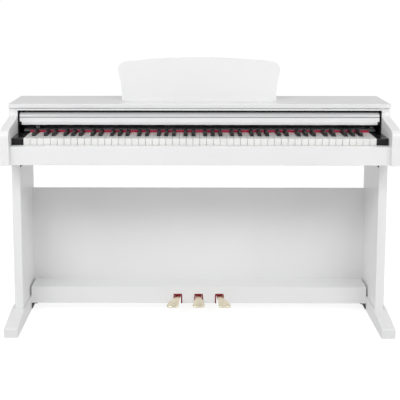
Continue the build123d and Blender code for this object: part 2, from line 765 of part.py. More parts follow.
def screw(at, out, length, radius, head):
    plane = Plane(origin=at, z_dir=out)
    solid = Pos(0, 0, -length / 2) * Cylinder(radius, length)
    if head:
        dome = Pos(0, 0, HEAD_H / 2) * Cylinder(HEAD_R, HEAD_H)
        dome = fillet(dome.edges().group_by(Axis.Z)[-1], 1)
        recess = Pos(0, 0, HEAD_H) * (Box(4.4, 1, 2) + Box(1, 4.4, 2))
        solid = solid + dome - recess
    return plane * solid


def screw_length(targets):
    if "rear_panel" in targets:
        return REAR_T
    if "back_panel" in targets:
        return PANEL_T + SCREW_L
    return BRACKET_T + SCREW_L


# ---------------------------------------------------------------- assembly


def build_parts():
    parts = {
        "foot_left": mirror(foot(), about=Plane.YZ),
        "foot_right": foot(),
        "leg_left": mirror(leg(), about=Plane.YZ),
        "leg_right": leg(),
        "back_panel": back_panel(),
        "pedal_box_front": pedal_box_front(),
        "pedal_box_top": pedal_box_top(),
        "pedal_notch_lining": pedal_notch_lining(),
        "pedal_frame": pedal_frame(),
        "pedal_pin": pedal_pin(),
        "pedal_springs": pedal_springs(),
        "pedal_left": Pos(-PEDAL_PITCH, 0, 0) * pedal(-PEDAL_SHIFT),
        "pedal_middle": pedal(0.0),
        "pedal_right": Pos(PEDAL_PITCH, 0, 0) * pedal(PEDAL_SHIFT),
        "corner_brackets": Compound(corner_brackets()),
        "foot_glides": foot_glides(),
        "keybed": keybed(),
        "key_slip": key_slip(),
        "arm_left": mirror(arm(), about=Plane.YZ),
        "arm_right": arm(),
        "lid": lid(),
        "fascia": fascia(),
        "rear_panel": rear_panel(),
        "key_block_left": mirror(key_block(), about=Plane.YZ),
        "key_block_right": key_block(),
        "cover_track_left": mirror(cover_track(), about=Plane.YZ),
        "cover_track_right": cover_track(),
        "cover_panel": cover_panel(),
        "cover_rail": cover_rail(),
        "cover_end_caps": cover_end_caps(),
        "cover_runners": cover_runners(),
        "control_panel": control_panel(),
        "volume_slider": volume_slider(),
        "music_rest": music_rest(),
        "music_rest_ledge": music_rest_ledge(),
        "music_rest_brackets": music_rest_brackets(),
        "key_chassis": key_chassis(),
        "key_rod": key_rod(),
        "felt_strip": felt_strip(),
        "circuit_board": circuit_board(),
        "speakers": speakers(),
        "speaker_grilles": speaker_grilles(),
        "rear_sockets": rear_sockets(),
    }
    for name, x in BUTTON_X.items():
        parts[name] = button(x)
    for note in LOW_GROUP + HIGH_GROUP:
        parts["keys_" + note] = key_group(note)
    screws = []
    for at, out, targets in screw_places():
        length = screw_length(targets)
        for name in targets:
            parts[name] = parts[name] - screw(at, out, length, SCREW_R, False)
        screws.append(screw(at, out, length, SCREW_R, True))
    parts["screws"] = Compound(screws)
    return parts


def main():
    os.makedirs("parts", exist_ok=True)
    for name, solid in build_parts().items():
        export_step(solid, "parts/" + name + ".step")


main()
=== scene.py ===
import json
import math
import random

import bpy
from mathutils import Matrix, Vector


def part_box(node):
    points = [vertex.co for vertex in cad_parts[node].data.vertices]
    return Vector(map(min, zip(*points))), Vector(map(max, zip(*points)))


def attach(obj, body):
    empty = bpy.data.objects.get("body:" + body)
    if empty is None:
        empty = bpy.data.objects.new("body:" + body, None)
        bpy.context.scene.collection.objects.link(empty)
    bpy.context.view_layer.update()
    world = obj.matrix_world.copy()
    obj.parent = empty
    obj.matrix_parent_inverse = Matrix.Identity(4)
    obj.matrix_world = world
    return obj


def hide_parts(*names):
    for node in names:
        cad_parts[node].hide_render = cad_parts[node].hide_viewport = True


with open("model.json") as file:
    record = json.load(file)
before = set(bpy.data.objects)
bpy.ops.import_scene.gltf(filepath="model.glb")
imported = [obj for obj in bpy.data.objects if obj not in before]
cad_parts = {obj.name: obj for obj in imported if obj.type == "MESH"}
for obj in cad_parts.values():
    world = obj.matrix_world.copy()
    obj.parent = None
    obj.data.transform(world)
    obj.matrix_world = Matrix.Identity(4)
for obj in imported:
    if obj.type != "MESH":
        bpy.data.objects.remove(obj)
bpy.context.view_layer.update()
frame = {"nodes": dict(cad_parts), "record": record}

NODES = frame["nodes"]
RECORD = frame["record"]
SLOT_OF = {row["node"]: row["material_slot"] for row in RECORD["subparts"]}
BASE = {row["slot"]: tuple(row["base_color"][:3]) for row in RECORD["materials"]}
JOINT = {row["name"]: row for row in RECORD["behaviour"]["joints"]}
MM = 0.001
MICRON = 0.000001
DICE = random.Random(7)

# ---------------------------------------------------------------- colours

# One lacquer in the record, in several whites here: they are tuned to the light in the photograph.
CASE_WHITE = (0.83, 0.83, 0.835)
# The fascia's brighter white is painted light.
FASCIA_WHITE_PAINTED_LIGHT = (0.98, 0.98, 0.985)
# The feet's darker white is painted shade.
FOOT_WHITE_PAINTED_SHADE = (0.79, 0.79, 0.795)
# The rail's colours are set by height: its face white is painted light, and its groove line and bead
# greys are painted shade.
RAIL_FACE_PAINTED_LIGHT = (0.97, 0.97, 0.975)
RAIL_GROOVE_PAINTED_SHADE = (0.36, 0.36, 0.37)
RAIL_BEAD_PAINTED_SHADE = (0.78, 0.78, 0.79)
RAIL_BEAD_TOP_PAINTED_SHADE = (0.34, 0.34, 0.35)
KEY_IVORY = (0.85, 0.85, 0.83)
KEY_EBONY = (0.012, 0.012, 0.014)
PLASTIC_BLACK = (0.008, 0.008, 0.009)
PANEL_GREY = (0.13, 0.13, 0.135)
PRINT_GREY = (0.55, 0.56, 0.56)
LENS_RED = (0.55, 0.03, 0.02)
FELT_RED = (0.46, 0.012, 0.055)
# The notch trims' red is a darker copy of the felt's red: painted shade.
TRIM_RED_PAINTED_SHADE = (0.24, 0.007, 0.014)
# Black of the brush that stands in for the shadow in the slot: painted shade.
BRISTLE_BLACK_PAINTED_SHADE = (0.012, 0.012, 0.013)
PEDAL_GOLD = (0.96, 0.88, 0.68)
FLOOR_GREY = (0.22, 0.22, 0.22)
WHITE_LIGHT = (1, 1, 1, 1)


def shade(color, k):
    return tuple(min(1.0, c * k) for c in color)


# ---------------------------------------------------------------- node helpers


class Nodes:
    """The node tree of a material or world, emptied, with short calls for adding and linking."""

    def __init__(self, owner):
        owner.use_nodes = True
        self.tree = owner.node_tree
        self.tree.nodes.clear()

    def add(self, kind, **values):
        node = self.tree.nodes.new(kind)
        for key, value in values.items():
            setattr(node, key, value)
        return node

    def set(self, node, socket, value):
        node.inputs[socket].default_value = value

    def link(self, a, a_socket, b, b_socket):
        self.tree.links.new(a.outputs[a_socket], b.inputs[b_socket])

    def rescale(self, source, socket, old, new):
        """Maps a value from the range old to the range new."""
        node = self.add("ShaderNodeMapRange")
        self.set(node, "From Min", old[0])
        self.set(node, "From Max", old[1])
        self.set(node, "To Min", new[0])
        self.set(node, "To Max", new[1])
        self.link(source, socket, node, "Value")
        return node


# A noise's values lie mostly within this range, and its peaks in the second.
NOISE_RANGE = (0.35, 0.65)
SCUFF_RANGE = (0.62, 0.74)


class Shader(Nodes):
    """A Principled material with the noise, tint, roughness and bump that the finishes share."""

    def __init__(self, name, color, rough):
        self.mat = bpy.data.materials.new(name)
        super().__init__(self.mat)
        out = self.add("ShaderNodeOutputMaterial")
        self.bsdf = self.add("ShaderNodeBsdfPrincipled")
        self.link(self.bsdf, "BSDF", out, "Surface")
        self.set(self.bsdf, "Base Color", (*color, 1))
        self.set(self.bsdf, "Roughness", rough)
        self.coord = self.add("ShaderNodeTexCoord")

    def noise(self, scale, detail, stretch=(1, 1, 1)):
        mapping = self.add("ShaderNodeMapping")
        self.set(mapping, "Scale", stretch)
        self.link(self.coord, "Object", mapping, "Vector")
        node = self.add("ShaderNodeTexNoise")
        self.set(node, "Scale", scale)
        self.set(node, "Detail", detail)
        self.link(mapping, "Vector", node, "Vector")
        return node

    def tint(self, source, c0, c1, span=NOISE_RANGE):
        ramp = self.add("ShaderNodeValToRGB")
        for stop, place, color in zip(ramp.color_ramp.elements, span, (c0, c1)):
            stop.position = place
            stop.color = (*color, 1)
        self.link(source, "Fac", ramp, "Fac")
        self.link(ramp, "Color", self.bsdf, "Base Color")

    def rough(self, source, low, high):
        node = self.rescale(source, "Fac", NOISE_RANGE, (low, high))
        self.link(node, "Result", self.bsdf, "Roughness")

    def bump(self, source, depth, strength, under=None, socket="Fac"):
        node = self.add("ShaderNodeBump")
        self.set(node, "Strength", strength)
        self.set(node, "Distance", depth)
        self.link(source, socket, node, "Height")
        if under is not None:
            self.link(under, "Normal", node, "Normal")
        self.link(node, "Normal", self.bsdf, "Normal")
        return node


# ---------------------------------------------------------------- finishes


def along(axis, squeeze):
    """A noise's stretch that draws it out along one axis."""
    return tuple(squeeze if i == axis else 1.0 for i in range(3))


def lacquer(name, color, grain_axis, rough=0.34):
    """Sprayed satin lacquer on board: a faint orange peel, a very faint long grain, a few dull scuffs."""
    s = Shader(name, color, rough)
    cloud = s.noise(scale=3.0, detail=2.0)
    grain = s.noise(scale=260.0, detail=4.0, stretch=along(grain_axis, 0.06))
    peel = s.noise(scale=900.0, detail=2.0)
    scuff = s.noise(scale=38.0, detail=6.0, stretch=along(grain_axis, 0.25))
    s.tint(cloud, shade(color, 0.985), shade(color, 1.01))
    base = s.rescale(grain, "Fac", NOISE_RANGE, (rough - 0.05, rough + 0.07))
    dull = s.rescale(scuff, "Fac", SCUFF_RANGE, (0.0, 0.12))
    total = s.add("ShaderNodeMath", operation="ADD")
    s.link(base, "Result", total, 0)
    s.link(dull, "Result", total, 1)
    s.link(total, "Value", s.bsdf, "Roughness")
    under = s.bump(grain, depth=50 * MICRON, strength=0.35)
    s.bump(peel, depth=30 * MICRON, strength=0.25, under=under)
    s.set(s.bsdf, "Coat Weight", 0.12)
    s.set(s.bsdf, "Coat Roughness", 0.2)
    return s.mat


# Heights on the cover's rail, in mm up from its foot, as in part.py, and as parts of its whole height.
# These heights place the painted shade of the groove and of the bead.
RAIL_HEIGHT = 43.4
GROOVE_LOW = 25.8 / RAIL_HEIGHT
GROOVE_HIGH = 28.3 / RAIL_HEIGHT
GROOVE_EDGE = 0.01
BEAD_MIDDLE = 0.82


def rail_painted_light_and_shade():
    """Gloss white whose colour is set by height: a face brightened with painted light, and a grey rolled
    bead that darkens towards its top and a dark groove line, both painted shade.
    """
    low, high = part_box("cover_rail")
    s = Shader("rail_painted_light_and_shade", RAIL_FACE_PAINTED_LIGHT, 0.12)
    split = s.add("ShaderNodeSeparateXYZ")
    s.link(s.coord, "Object", split, "Vector")
    level = s.rescale(split, "Z", (low[2], high[2]), (0.0, 1.0))
    painted_bands = s.add("ShaderNodeValToRGB")
    stops = painted_bands.color_ramp.elements
    # Painted light on the face. Painted shade in the groove and over the bead, darkest at the bead's top.
    stops[0].color = (*RAIL_FACE_PAINTED_LIGHT, 1)
    stops[1].position = 1.0
    stops[1].color = (*RAIL_BEAD_TOP_PAINTED_SHADE, 1)
    for place, color in (
        (GROOVE_LOW - GROOVE_EDGE, RAIL_FACE_PAINTED_LIGHT),
        (GROOVE_LOW, RAIL_GROOVE_PAINTED_SHADE),
        (GROOVE_HIGH, RAIL_GROOVE_PAINTED_SHADE),
        (GROOVE_HIGH + GROOVE_EDGE, RAIL_BEAD_PAINTED_SHADE),
        (BEAD_MIDDLE, shade(RAIL_BEAD_PAINTED_SHADE, 0.8)),
    ):
        stops.new(place).color = (*color, 1)
    s.link(level, "Result", painted_bands, "Fac")
    s.link(painted_bands, "Color", s.bsdf, "Base Color")
    fine = s.noise(scale=700.0, detail=3.0, stretch=along(0, 0.05))
    s.rough(fine, 0.08, 0.16)
    s.bump(fine, depth=5 * MICRON, strength=0.2)
    return s.mat


def key_white():
    s = Shader("key_white", KEY_IVORY, 0.16)
    cloud = s.noise(scale=12.0, detail=2.0)
    fine = s.noise(scale=500.0, detail=3.0, stretch=along(1, 0.2))
    s.tint(cloud, shade(KEY_IVORY, 0.97), KEY_IVORY)
    s.rough(fine, 0.13, 0.24)
    s.bump(fine, depth=10 * MICRON, strength=0.3)
    return s.mat


def key_black():
    s = Shader("key_black", KEY_EBONY, 0.38)
    s.set(s.bsdf, "Specular IOR Level", 0.3)
    fine = s.noise(scale=900.0, detail=4.0, stretch=along(1, 0.1))
    s.tint(fine, shade(KEY_EBONY, 0.7), shade(KEY_EBONY, 1.35))
    s.rough(fine, 0.32, 0.48)
    s.bump(fine, depth=30 * MICRON, strength=0.4)
    return s.mat


def moulded(name, color, rough, grain, depth, specular=0.5):
    """Spark-textured moulded plastic."""
    s = Shader(name, color, rough)
    s.set(s.bsdf, "Specular IOR Level", specular)
    cell = s.add("ShaderNodeTexVoronoi")
    s.set(cell, "Scale", grain)
    s.link(s.coord, "Object", cell, "Vector")
    cloud = s.noise(scale=20.0, detail=3.0)
    s.tint(cloud, shade(color, 0.85), shade(color, 1.15))
    s.rough(cloud, rough - 0.06, rough + 0.08)
    s.bump(cell, depth=depth, strength=0.6, socket="Distance")
    return s.mat


def felt(name, color, sheen):
    s = Shader(name, color, 0.95)
    fibre = s.noise(scale=1400.0, detail=6.0, stretch=along(0, 0.5))
    cloud = s.noise(scale=60.0, detail=3.0)
    s.tint(fibre, shade(color, 0.6), shade(color, 1.3), span=(0.3, 0.7))
    s.rough(cloud, 0.9, 1.0)
    s.bump(fibre, depth=400 * MICRON, strength=0.8)
    s.set(s.bsdf, "Sheen Weight", sheen)
    s.set(s.bsdf, "Sheen Roughness", 0.4)
    return s.mat


def metal(name, color, rough, brushed_axis):
    s = Shader(name, color, rough)
    s.set(s.bsdf, "Metallic", 1.0)
    line = s.noise(scale=900.0, detail=3.0, stretch=along(brushed_axis, 0.05))
    cloud = s.noise(scale=35.0, detail=4.0)
    s.tint(cloud, shade(color, 0.9), shade(color, 1.03))
    s.rough(line, rough * 0.75, rough * 1.4)
    s.bump(line, depth=10 * MICRON, strength=0.4)
    return s.mat


def coated_metal(name, color):
    s = Shader(name, color, 0.55)
    speck = s.noise(scale=1100.0, detail=4.0)
    s.tint(speck, shade(color, 0.7), shade(color, 1.6))
    s.rough(speck, 0.45, 0.65)
    s.bump(speck, depth=80 * MICRON, strength=0.6)
    return s.mat


def circuit(name, color):
    s = Shader(name, color, 0.4)
    tracks = s.add("ShaderNodeTexBrick")
    s.set(tracks, "Scale", 60.0)
    s.set(tracks, "Color1", (*color, 1))
    s.set(tracks, "Color2", (*shade(color, 0.7), 1))
    s.set(tracks, "Mortar", (*shade(color, 1.8), 1))
    s.link(s.coord, "Object", tracks, "Vector")
    s.link(tracks, "Color", s.bsdf, "Base Color")
    return s.mat


def cone_paper(name, color):
    s = Shader(name, color, 0.85)
    fibre = s.noise(scale=500.0, detail=5.0)
    s.tint(fibre, shade(color, 0.6), shade(color, 1.5))
    s.bump(fibre, depth=200 * MICRON, strength=0.7)
    return s.mat


def make_lacquers():
    """Each board's grain runs along its length: 0 across the piano, 1 from front to back, 2 upright."""
    rows = (
        ("white_lacquer", CASE_WHITE, 0),
        ("white_side", CASE_WHITE, 1),
        # The feet's darker white is painted shade.
        ("white_foot_painted_shade", FOOT_WHITE_PAINTED_SHADE, 1),
        ("white_upright", CASE_WHITE, 2),
        # The fascia's brighter white is painted light.
        ("white_fascia_painted_light", FASCIA_WHITE_PAINTED_LIGHT, 0),
    )
    finishes = {name: lacquer(name, color, axis) for name, color, axis in rows}
    finishes["cover_sheet"] = lacquer("cover_sheet", CASE_WHITE, 0, rough=0.3)
    return finishes


def make_plastics():
    """Colour, roughness, grains per metre, grain depth in microns and specular level of each plastic."""
    rows = (
        ("black_plastic", PLASTIC_BLACK, 0.24, 1400.0, 20, 0.35),
        ("panel_grey", PANEL_GREY, 0.26, 2200.0, 8, 0.5),
        ("button_grey", BASE["button_grey"], 0.45, 2600.0, 20, 0.5),
        ("light_plastic", BASE["light_plastic"], 0.4, 2600.0, 10, 0.5),
        ("glide_rubber", BASE["glide_rubber"], 0.8, 900.0, 100, 0.5),
        ("print_grey", PRINT_GREY, 0.5, 3000.0, 4, 0.5),
        ("lamp_lens", LENS_RED, 0.08, 3000.0, 2, 0.5),
    )
    return {
        name: moulded(name, color, rough, grain, depth * MICRON, specular)
        for name, color, rough, grain, depth, specular in rows
    }


def make_finishes():
    return {
        **make_lacquers(),
        **make_plastics(),
        # The rail's colour by height is painted light and painted shade.
        "rail_painted_light_and_shade": rail_painted_light_and_shade(),
        "ivory_white": key_white(),
        "ebony_black": key_black(),
        "red_felt": felt("red_felt", FELT_RED, sheen=0.5),
        # The notch trims' darker red is painted shade.
        "red_trim_painted_shade": felt("red_trim_painted_shade", TRIM_RED_PAINTED_SHADE, sheen=0.0),
        # The brush's black bristles are painted shade in the slot.
        "bristle": felt("bristle", BRISTLE_BLACK_PAINTED_SHADE, sheen=0.0),
        "pedal_brass": metal("pedal_brass", PEDAL_GOLD, rough=0.30, brushed_axis=1),
        "bare_steel": metal("bare_steel", BASE["bare_steel"], rough=0.35, brushed_axis=0),
        "black_steel": coated_metal("black_steel", BASE["black_steel"]),
        "board_green": circuit("board_green", BASE["board_green"]),
        "speaker_paper": cone_paper("speaker_paper", BASE["speaker_paper"]),
    }


FINISH = make_finishes()
# Nodes whose finish isn't the one named after their slot. The others use their slot's.
SPECIAL = {
    "arm_left": "white_side",
    "arm_right": "white_side",
    # The feet's darker white is painted shade.
    "foot_left": "white_foot_painted_shade",
    "foot_right": "white_foot_painted_shade",
    "leg_left": "white_upright",
    "leg_right": "white_upright",
    # The fascia's brighter white is painted light.
    "fascia": "white_fascia_painted_light",
    # The notch trims' darker red is painted shade.
    "pedal_notch_lining": "red_trim_painted_shade",
    # The rail's colour by height is painted light and painted shade.
    "cover_rail": "rail_painted_light_and_shade",
}


def paint_nodes():
    for name, obj in NODES.items():
        obj.data.materials.clear()
        obj.data.materials.append(FINISH[SPECIAL.get(name, SLOT_OF[name])])


paint_nodes()


# ---------------------------------------------------------------- mesh helpers

SQUARE = ((-1, -1), (1, -1), (1, 1), (-1, 1))


def new_object(name, points, faces, material):
    mesh = bpy.data.meshes.new(name)
    mesh.from_pydata(points, [], faces)
    mesh.materials.append(material)
    obj = bpy.data.objects.new(name, mesh)
    bpy.context.scene.collection.objects.link(obj)
    return obj


def new_piece(name, body, finish, points, faces, smooth=True):
    piece = new_object(name, points, faces, FINISH[finish])
    for face in piece.data.polygons:
        face.use_smooth = smooth
    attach(piece, body)
    return piece


def band_faces(count, rows, closed=False):
    """Quads between successive rings of count points, and from the last to the first where closed."""
    faces = []
    for row in range(rows if closed else rows - 1):
        a = row * count
        b = (row + 1) % rows * count
        for i in range(count):
            j = (i + 1) % count
            faces.append((a + i, a + j, b + j, b + i))
    return faces


def loft(rings):
    """Joins closed rings of equal size with quads and closes both ends with a fan."""
    count = len(rings[0])
    points = [point for ring in rings for point in ring]
    faces = band_faces(count, len(rings))
    for ring, flip in ((0, True), (len(rings) - 1, False)):
        middle = sum((Vector(p) for p in rings[ring]), Vector()) / count
        points.append(tuple(middle))
        for i in range(count):
            edge = (ring * count + i, ring * count + (i + 1) % count, len(points) - 1)
            faces.append(edge[::-1] if flip else edge)
    return points, faces


def rounded_section(half_a, half_b, radius, steps=4):
    """Closed outline of a rectangle with round corners, as (a, b) pairs about its middle."""
    points = []
    for corner in range(4):
        sign_a = 1 if corner in (0, 3) else -1
        sign_b = 1 if corner in (0, 1) else -1
        for i in range(steps + 1):
            angle = math.pi / 2 * (corner + i / steps)
            a = sign_a * (half_a - radius) + radius * math.cos(angle)
            b = sign_b * (half_b - radius) + radius * math.sin(angle)
            points.append((a, b))
    return points


def signed_power(value, power):
    return math.copysign(abs(value) ** power, value)


def subdivide(piece, levels):
    modifier = piece.modifiers.new("smooth", "SUBSURF")
    modifier.levels = levels
    modifier.render_levels = levels


# ---------------------------------------------------------------- pedals

PEDALS = ("pedal_left", "pedal_middle", "pedal_right")
PEDAL_PLACE = {node: JOINT[node + "_press"]["pos_m"][0] for node in PEDALS}
# How far each tip stands to the side of its lever.
PEDAL_SHIFT = {"pedal_left": -20.0 * MM, "pedal_middle": 0.0, "pedal_right": 20.0 * MM}
PEDAL_HALF = 10.6 * MM
PEDAL_TIP_HALF = 23.0 * MM
PEDAL_THICK = 8.5 * MM
PEDAL_CROWN = 0.9 * MM
# Depth and height of the upper face in mm, from the pin to the tip, as in part.py.
PEDAL_LINE = ((156, 61), (72, 57.5), (25, 49), (-12, 41))
LINE_SOFTEN = 3.5 * MM
LINE_PROBES = range(-4, 5)
# A section is a superellipse of this power.
PEDAL_SQUARE = 4.2
PEDAL_RING = 28
PEDAL_STATIONS = 46
STATION_CROWDING = 1.35
LAST_STATION = 0.9995
# Where the lever bends sideways and where it widens, as parts of its length.
BEND_START = 0.48
BEND_SPAN = 0.54
SLOPE_STEP = 0.01
FLARE_START = 0.54
FLARE_SPAN = 0.42
# The tip's outline from above and from the side, as superellipse powers.
TIP_ROUND = 14.0 * MM
TIP_ROUND_POWERS = (3.2, 2.6)
TIP_THIN = 0.75 * PEDAL_THICK
TIP_THIN_POWERS = (2.4, 2.2)


def ease(t):
    t = min(1.0, max(0.0, t))
    return t * t * (3 - 2 * t)


def bend_at(u):
    return ease((u - BEND_START) / BEND_SPAN)


def tip_taper(to_tip, powers):
    """From 0 at the tip to 1 where to_tip reaches 1."""
    if to_tip >= 1:
        return 1.0
    return (1 - (1 - to_tip) ** powers[0]) ** (1 / powers[1])


def pedal_top(y):
    """Height of a pedal's upper face at depth y, on straight runs joined softly."""
    rows = [(a * MM, b * MM) for a, b in PEDAL_LINE]
    total = 0.0
    weight = 0.0
    for k in LINE_PROBES:
        probe = min(rows[0][0], max(rows[-1][0], y + k * LINE_SOFTEN))
        for (y0, z0), (y1, z1) in zip(rows, rows[1:]):
            if y1 <= probe <= y0:
                total += z0 + (z1 - z0) * (y0 - probe) / (y0 - y1)
                weight += 1
                break
    return total / weight


def pedal_ring(middle, y, turn, half, thin):
    """One closed section of a pedal, with a slightly crowned top."""
    level = pedal_top(y) - PEDAL_THICK / 2
    ring = []
    for k in range(PEDAL_RING):
        angle = 2 * math.pi * k / PEDAL_RING
        across = half * signed_power(math.cos(angle), 2 / PEDAL_SQUARE)
        rise = PEDAL_THICK / 2 * thin * signed_power(math.sin(angle), 2 / PEDAL_SQUARE)
        crown = PEDAL_CROWN * (1 - (across / half) ** 2) if rise > 0 else 0
        place = (middle + across * math.cos(turn), y + across * math.sin(turn))
        ring.append((*place, level + rise + crown))
    return ring


def pedal_rings(node):
    """Sections from a pedal's back end, where u is 0, to its tip, where u is 1."""
    low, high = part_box(node)
    length = high[1] - low[1]
    shift = PEDAL_SHIFT[node]
    rings = []
    for i in range(PEDAL_STATIONS):
        u = min(1 - (1 - i / (PEDAL_STATIONS - 1)) ** STATION_CROWDING, LAST_STATION)
        sideways = shift * (bend_at(u + SLOPE_STEP) - bend_at(u - SLOPE_STEP))
        turn = math.atan(sideways / (2 * SLOPE_STEP * length))
        half = PEDAL_HALF + (PEDAL_TIP_HALF - PEDAL_HALF) * ease((u - FLARE_START) / FLARE_SPAN)
        to_tip = (1 - u) * length
        half *= tip_taper(to_tip / TIP_ROUND, TIP_ROUND_POWERS)
        thin = tip_taper(to_tip / TIP_THIN, TIP_THIN_POWERS)
        middle = PEDAL_PLACE[node] + shift * bend_at(u)
        rings.append(pedal_ring(middle, high[1] - u * length, turn, half, thin))
    return rings


def make_pedal(node):
    points, faces = loft(pedal_rings(node))
    piece = new_piece(node + "_cast", node, "pedal_brass", points, faces)
    subdivide(piece, 1)
    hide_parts(node)


for pedal_node in PEDALS:
    make_pedal(pedal_node)


# ---------------------------------------------------------------- felt ribbon

RIBBON_STEPS = 420
RIBBON_CORNER = 0.45
RIBBON_WAVE = 0.125 * MM
RIBBON_WAVE_TURN = 0.31
RIBBON_FRAY = 0.06 * MM
RIBBON_SQUEEZE = 0.05


def make_felt_ribbon():
    """The soft red ribbon behind the keys, whose front edge waves and frays a little."""
    low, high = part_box("felt_strip")
    half_y = (high[1] - low[1]) / 2
    half_z = (high[2] - low[2]) / 2
    section = rounded_section(half_y, half_z, min(half_y, half_z) * RIBBON_CORNER)
    rings = []
    for i in range(RIBBON_STEPS + 1):
        x = low[0] + (high[0] - low[0]) * i / RIBBON_STEPS
        wave = RIBBON_WAVE * math.sin(i * RIBBON_WAVE_TURN) + RIBBON_FRAY * (DICE.random() - 0.5)
        squeeze = 1 - RIBBON_SQUEEZE * DICE.random()
        ring = []
        for a, b in section:
            y = low[1] + half_y + a + (wave if a < 0 else 0.0)
            ring.append((x, y, low[2] + half_z + b * squeeze))
        rings.append(ring)
    points, faces = loft(rings)
    piece = new_piece("felt_ribbon", "cabinet", "red_felt", points, faces)
    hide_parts("felt_strip")


# ---------------------------------------------------------------- trims of the pedal notches

TRIM_SIDE = 5.0 * MM
TRIM_TOP = 6.2 * MM
TRIM_PROUD = 1.6 * MM
# How far a trim's side sinks into the board beyond the CAD lining.
TRIM_SUNK = 0.9 * MM
TRIM_BEND = 2.5 * MM
TRIM_BEND_STEPS = 6
TRIM_CORNER = 1.3 * MM


def trim_path(middle, half, foot, top):
    """Inner edge of a notch from one foot over the top to the other, with outward headings."""
    rows = [(middle - half, foot, -1.0, 0.0)]
    for side in (-1, 1):
        for i in range(TRIM_BEND_STEPS + 1):
            part = i / TRIM_BEND_STEPS
            angle = math.pi / 2 * (part if side < 0 else 1 - part)
            x = middle + side * (half - TRIM_BEND + TRIM_BEND * math.cos(angle))
            z = top - TRIM_BEND + TRIM_BEND * math.sin(angle)
            rows.append((x, z, side * math.cos(angle), math.sin(angle)))
    rows.append((middle + half, foot, 1.0, 0.0))
    return rows


def notch_trim(middle, half, foot, top, front, back):
    """Rings of one padded trim: a rounded band that follows the notch's edge."""
    rings = []
    depth = (back - front) / 2
    for x, z, out_x, out_z in trim_path(middle, half, foot, top):
        thick = TRIM_SIDE * abs(out_x) + TRIM_TOP * abs(out_z)
        thick = thick / max(1.0, abs(out_x) + abs(out_z))
        ring = []
        for a, b in rounded_section(thick / 2, depth, TRIM_CORNER):
            reach = thick / 2 + a
            ring.append((x + out_x * reach, front + depth + b, z + out_z * reach))
        rings.append(ring)
    return rings


def make_notch_trims():
    low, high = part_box("pedal_notch_lining")
    half = high[0] - max(PEDAL_PLACE.values()) - TRIM_SIDE + TRIM_SUNK
    top = high[2] - TRIM_TOP
    front = low[1] - TRIM_PROUD
    points = []
    faces = []
    for place in PEDAL_PLACE.values():
        more_points, more_faces = loft(notch_trim(place, half, low[2], top, front, high[1]))
        faces += [tuple(i + len(points) for i in face) for face in more_faces]
        points += more_points
    piece = new_piece("notch_trims", "cabinet", "red_trim_painted_shade", points, faces)
    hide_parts("pedal_notch_lining")


# ---------------------------------------------------------------- black brush, painted shade in the slot

BRISTLES = 640
BRISTLE_FILL = 0.96
BRISTLE_DEEP = 1.3 * MM
BRISTLE_LEAN = 0.5 * MM
BRISTLE_RAGGED = 0.5 * MM
BRUSH_BEHIND = 0.3 * MM
BRUSH_OVERLAP = 8.0 * MM
BRUSH_CLEARANCE = 0.8 * MM
# A bristle's three sections: how far down each is, its share of the lean, and its thickness.
BRISTLE_LEVELS = ((0.0, 0.0, 1.0), (0.5, 0.4, 1.0), (1.0, 1.0, 0.6))


def bristle_points(x, front, top, tip, lean, wide):
    """Points of one bristle: three square sections down from its root to its tip."""
    points = []
    for down, share, thin in BRISTLE_LEVELS:
        z = top + (tip - top) * down
        for dx, dy in SQUARE:
            y = front + BRISTLE_DEEP + dy * BRISTLE_DEEP * thin
            points.append((x + lean * share + dx * wide * thin, y, z))
    return points


def bristle_faces(base):
    """Faces of a bristle whose first point is base: its sides, then its root and its tip."""
    faces = []
    for row in (0, 4):
        for k in range(4):
            j = (k + 1) % 4
            faces.append((base + row + k, base + row + 4 + k, base + row + 4 + j, base + row + j))
    faces.append((base, base + 1, base + 2, base + 3))
    faces.append((base + 11, base + 10, base + 9, base + 8))
    return faces


def make_painted_shade_brush():
    """Black bristles behind the fascia's lower edge: painted shade, a dark piece that stands in for the
    shadow in the slot over the sliding cover.
    """
    fascia_low, fascia_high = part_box("fascia")
    front = fascia_high[1] + BRUSH_BEHIND
    top = fascia_low[2] + BRUSH_OVERLAP
    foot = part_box("cover_rail")[1][2] + BRUSH_CLEARANCE
    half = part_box("cover_panel")[1][0]
    wide = half / BRISTLES * BRISTLE_FILL
    points = []
    faces = []
    for i in range(BRISTLES):
        x = -half + 2 * half * (i + 0.5) / BRISTLES
        lean = BRISTLE_LEAN * (DICE.random() - 0.5)
        tip = foot + BRISTLE_RAGGED * DICE.random()
        faces += bristle_faces(len(points))
        points += bristle_points(x, front, top, tip, lean, wide)
    new_piece("painted_shade_brush", "cabinet", "bristle", points, faces, False)


# ---------------------------------------------------------------- marks and lamp on the control panel

# The control panel's slope in part.py.
DECK_SLOPE = math.radians(20)
DECK_UP = Vector((0, math.cos(DECK_SLOPE), math.sin(DECK_SLOPE)))
DECK_OUT = Vector((0, -math.sin(DECK_SLOPE), math.cos(DECK_SLOPE)))


def button_row():
    """The point on the control panel's sloped face, at x of 0, that is level with the buttons' middle."""
    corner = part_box("control_panel")[1]
    low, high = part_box("voice_button")
    row = (low[1] + high[1]) / 2
    return Vector((0, corner[1], corner[2])) + DECK_UP * ((row - corner[1]) / DECK_UP.y)


DECK_ROW = button_row()
SLIDER_TRAVEL = JOINT["volume_slide"]["range_m"][1]


def on_deck(x, up, lift):
    """A point at x, a distance up the slope from the buttons' middle, and lift above the face."""
    return DECK_ROW + DECK_UP * up + DECK_OUT * lift + Vector((x, 0, 0))


def middle_x(node):
    low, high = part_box(node)
    return (low[0] + high[0]) / 2


BUTTONS = ("voice_button", "metronome_button", "record_button", "power_button")
MARK_LIFT = 0.12 * MM
MARK_CORNER = 0.45
